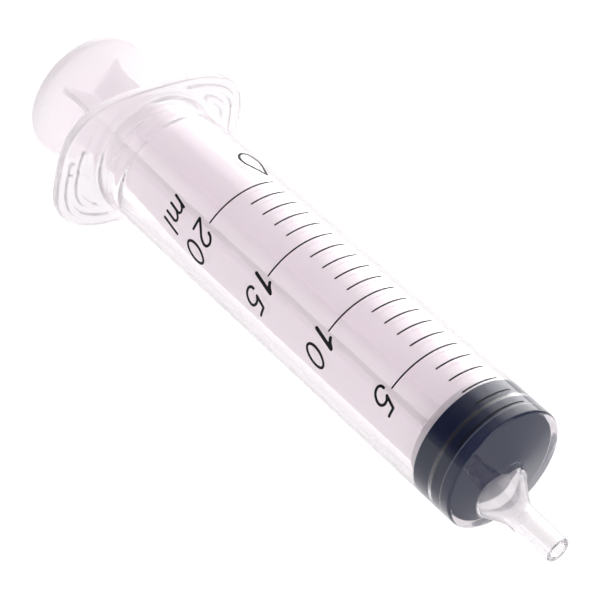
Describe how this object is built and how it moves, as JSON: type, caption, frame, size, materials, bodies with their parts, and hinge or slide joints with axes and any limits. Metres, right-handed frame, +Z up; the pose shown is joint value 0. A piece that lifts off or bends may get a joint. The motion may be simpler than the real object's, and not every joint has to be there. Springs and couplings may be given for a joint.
{
  "type": "oral syringe",
  "caption": "Clear dosing syringe with an off-centre tapered nozzle, printed millilitre scale, oval finger flange, dark rubber stopper and cross-ribbed plunger rod.",
  "frame": {"origin": "on the table under the middle of the whole length with the plunger home: the bottom centre of the bounding box", "axes": "+X along the barrel towards the nozzle, +Y along the finger flange, +Z up, away from the nozzle's side of the barrel"},
  "size_m": [0.126, 0.0386, 0.0272],
  "materials": {
    "clear_barrel": "clear, polished moulding",
    "stopper_rubber": "smooth, oiled",
    "rod_plastic": "milky, satin",
    "scale_ink": "printed ink"
  },
  "bodies": {
    "barrel": {"barrel": "clear_barrel"},
    "stopper": {"stopper": "stopper_rubber"},
    "plunger_rod": {"plunger_rod": "rod_plastic"}
  },
  "joints": [
    {"name": "plunger_slide", "type": "slide", "parent": "barrel", "child": "stopper", "axis": [-1, 0, 0], "range_m": [0, 0.077]},
    {"name": "rod_spin", "type": "hinge", "parent": "stopper", "child": "plunger_rod", "pos_m": [0, 0, 0.0136], "axis": [1, 0, 0], "continuous": true}
  ]
}
